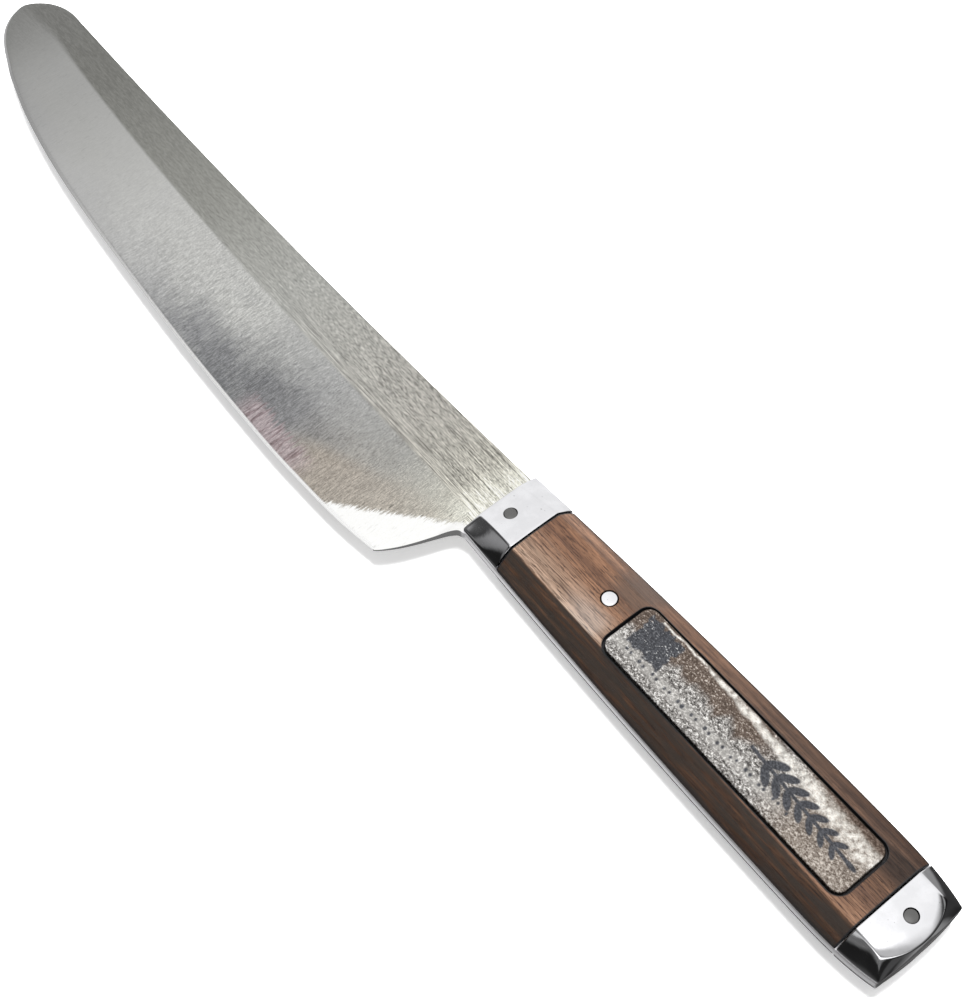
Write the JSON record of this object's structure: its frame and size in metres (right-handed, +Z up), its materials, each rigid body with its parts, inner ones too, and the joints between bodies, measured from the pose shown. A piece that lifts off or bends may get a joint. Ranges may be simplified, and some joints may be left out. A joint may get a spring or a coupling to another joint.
{
  "type": "bread knife",
  "caption": "Full-tang kitchen knife with a wide round-tipped blade, wood scales, polished steel bolsters and an inset metal nameplate",
  "frame": {"origin": "on the table, under the middle of the bounding box", "axes": "+X along the knife towards the butt, -Y the side of the cutting edge, +Z up; the knife lies on its side"},
  "size_m": [0.3342, 0.0438, 0.0128],
  "materials": {
    "blade_steel": "satin ground along the blade",
    "polished_steel": "mirror polished",
    "rosewood": "oiled, fine grain along the handle",
    "pewter": "etched and stippled, dull"
  },
  "bodies": {
    "root": {"blade": "blade_steel", "front_bolster_upper": "polished_steel", "front_bolster_lower": "polished_steel", "wood_scale_upper": "rosewood", "wood_scale_lower": "rosewood", "butt_cap_upper": "polished_steel", "butt_cap_lower": "polished_steel", "nameplate": "pewter", "bolster_pin": "polished_steel", "scale_pin_front": "polished_steel", "scale_pin_rear": "polished_steel", "cap_pin": "polished_steel"}
  },
  "joints": []
}
